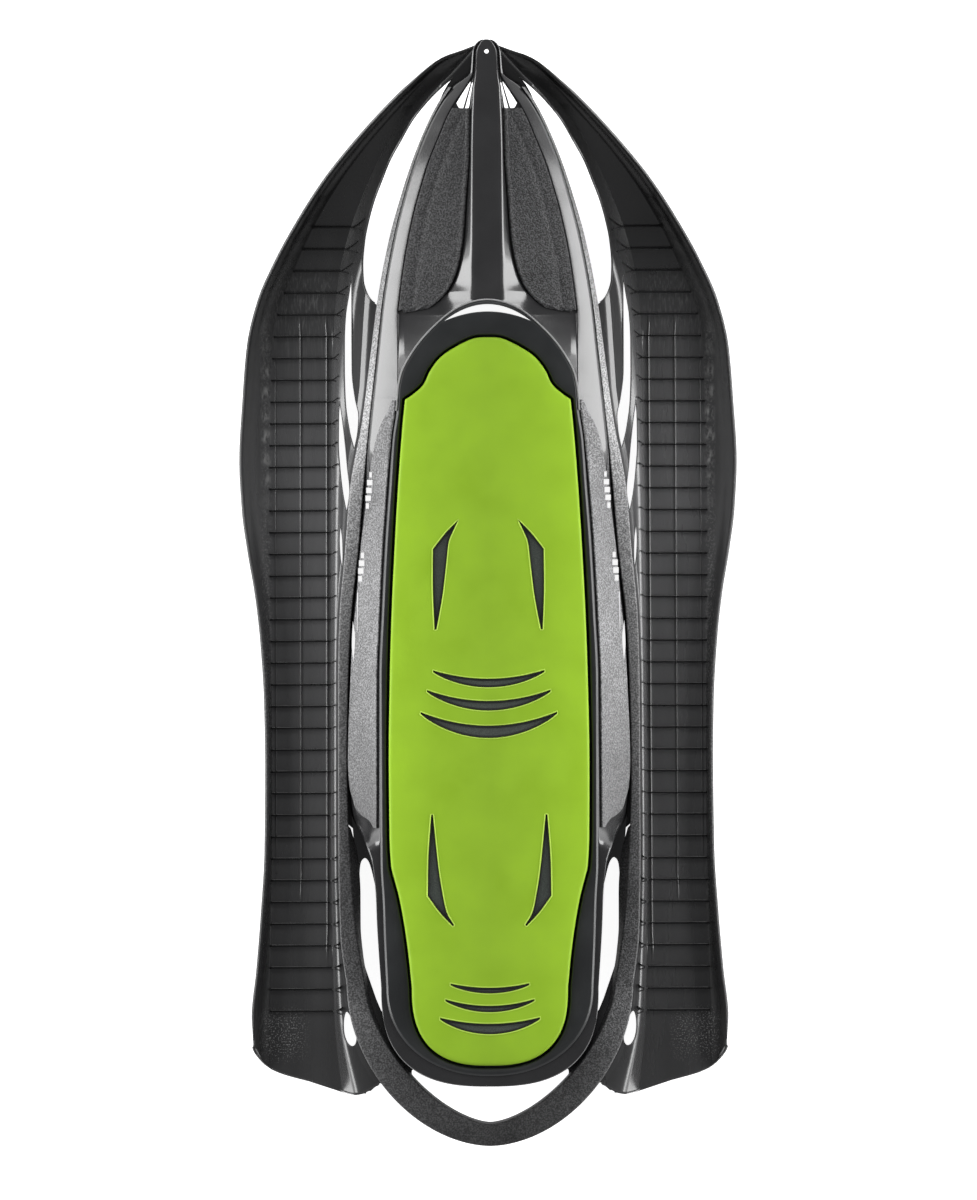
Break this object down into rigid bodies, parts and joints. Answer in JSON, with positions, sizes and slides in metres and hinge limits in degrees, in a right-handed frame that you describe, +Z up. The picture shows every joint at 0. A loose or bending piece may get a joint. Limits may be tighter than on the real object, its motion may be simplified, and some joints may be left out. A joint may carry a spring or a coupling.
{
  "type": "snow sled",
  "caption": "Moulded snow sled with a pointed nose, ribbed runner wings along both sides, a padded seat pod and an open grab ring behind the seat.",
  "frame": {"origin": "bottom centre of the bounding box, on the snow that the sled rests on", "axes": "+Y towards the pointed nose, +Z up, +X towards the rider's right"},
  "size_m": [0.533, 1.18, 0.1733],
  "materials": {
    "hull_plastic": "satin black polyethylene",
    "wing_plastic": "glossy black moulded plastic with fine flow texture",
    "deck_plastic": "glossy black moulded plastic",
    "rail_plastic": "black plastic with a fine grain for grip",
    "panel_plastic": "black plastic with a fine grain",
    "tray_plastic": "glossy black moulded plastic",
    "backing_foam": "slate grey closed-cell foam sheet",
    "pad_foam": "yellow-green closed-cell foam with a fine skin",
    "screw_steel": "zinc-plated steel"
  },
  "bodies": {
    "root": {"lower_hull": "hull_plastic", "left_runner_wing": "wing_plastic", "right_runner_wing": "wing_plastic", "upper_deck": "deck_plastic", "left_side_rail": "rail_plastic", "right_side_rail": "rail_plastic", "grab_ring": "rail_plastic", "left_side_panel": "panel_plastic", "right_side_panel": "panel_plastic", "left_foot_pad": "panel_plastic", "right_foot_pad": "panel_plastic", "seat_tray": "tray_plastic", "pad_backing": "backing_foam", "seat_pad": "pad_foam", "left_front_screw": "screw_steel", "left_middle_screw": "screw_steel", "left_rear_screw": "screw_steel", "left_ring_screw": "screw_steel", "left_stern_screw": "screw_steel", "left_front_tray_screw": "screw_steel", "left_rear_tray_screw": "screw_steel", "right_front_screw": "screw_steel", "right_middle_screw": "screw_steel", "right_rear_screw": "screw_steel", "right_ring_screw": "screw_steel", "right_stern_screw": "screw_steel", "right_front_tray_screw": "screw_steel", "right_rear_tray_screw": "screw_steel"}
  },
  "joints": []
}
